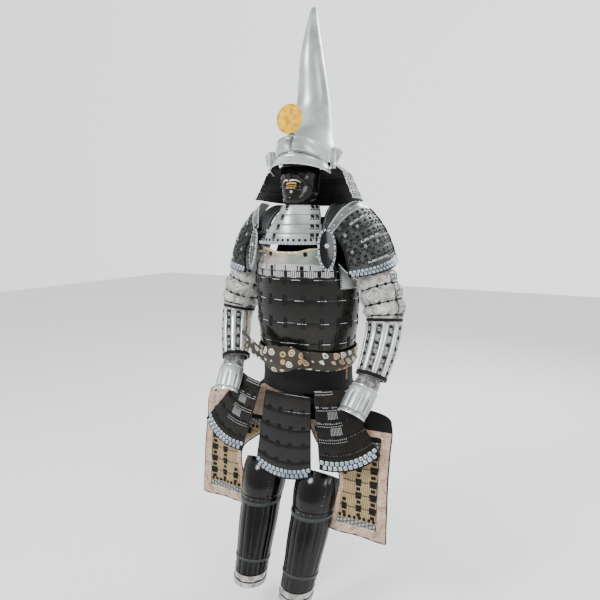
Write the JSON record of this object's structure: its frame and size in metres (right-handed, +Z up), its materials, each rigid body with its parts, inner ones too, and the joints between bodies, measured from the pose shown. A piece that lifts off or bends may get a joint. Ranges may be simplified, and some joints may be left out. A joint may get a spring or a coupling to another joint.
{
  "type": "samurai armour",
  "caption": "Full Japanese armour in its worn shape: tall-crowned helmet, face mask, laced cuirass, skirt plates, shoulder guards, armoured sleeves, thigh and shin guards.",
  "frame": {"origin": "between the shoulders, at the height where the shoulder straps rest, 1.33 m above the floor the wearer's feet stand on", "axes": "+Z up, -Y the way the wearer faces, +X the wearer's left"},
  "size_m": [0.716, 0.5405, 1.8819],
  "materials": {
    "silver": "silvered lacquer on plate, satin",
    "silver_lace": "silvered scales laced in grey-white silk",
    "lacquer": "black lacquer, glossy",
    "black_lace": "black silk lacing cords",
    "gold": "gilded, satin",
    "brocade": "cream and rose brocade with splints",
    "sleeve_cloth": "silver-white brocade",
    "sash_cloth": "dark brown silk with pale rings",
    "tassel_cord": "orange-brown cord",
    "leather": "black leather, satin"
  },
  "bodies": {
    "root": {"helmet_crown": "silver", "helmet_visor": "silver", "helmet_turnback_left": "silver", "helmet_turnback_right": "silver", "crest_disc": "gold", "crest_post": "lacquer", "neck_guard_lame_1": "lacquer", "neck_guard_lame_2": "silver_lace", "neck_guard_lame_3": "silver_lace", "neck_guard_lame_4": "silver_lace", "mask_shell": "lacquer", "throat_lame_1": "silver_lace", "throat_lame_2": "silver_lace", "throat_lame_3": "silver_lace", "throat_lame_4": "silver_lace", "cuirass_lame_1": "lacquer", "cuirass_lame_2": "lacquer", "cuirass_lame_3": "lacquer", "cuirass_lame_4": "lacquer", "chest_laced_lame": "silver_lace", "chest_plate": "silver", "back_plate": "lacquer", "side_plate_left": "silver", "side_plate_right": "silver", "shoulder_strap_left": "leather", "shoulder_strap_right": "leather", "strap_pendant_left": "lacquer", "strap_pendant_right": "lacquer", "waist_lacing": "black_lace", "skirt_plate_front": "lacquer", "skirt_plate_front_left": "lacquer", "skirt_plate_front_right": "lacquer", "skirt_plate_side_left": "lacquer", "skirt_plate_side_right": "lacquer", "skirt_plate_back_left": "lacquer", "skirt_plate_back_right": "lacquer", "sash_band": "sash_cloth", "sash_knot": "sash_cloth", "sash_tail": "sash_cloth", "sash_tassel": "tassel_cord", "shoulder_guard_cap_left": "silver", "shoulder_guard_cap_right": "silver", "shoulder_guard_left": "silver_lace", "shoulder_guard_right": "silver_lace", "sleeve_upper_left": "sleeve_cloth", "sleeve_upper_right": "sleeve_cloth", "sleeve_lower_left": "sleeve_cloth", "sleeve_lower_right": "sleeve_cloth", "forearm_splints_left": "silver", "forearm_splints_right": "silver", "hand_guard_left": "silver", "hand_guard_right": "silver", "thigh_guard_left": "brocade", "thigh_guard_right": "brocade", "knee_guard_left": "lacquer", "knee_guard_right": "lacquer", "shin_guard_left": "lacquer", "shin_guard_right": "lacquer", "ankle_cuff_left": "sleeve_cloth", "ankle_cuff_right": "sleeve_cloth"}
  },
  "joints": []
}
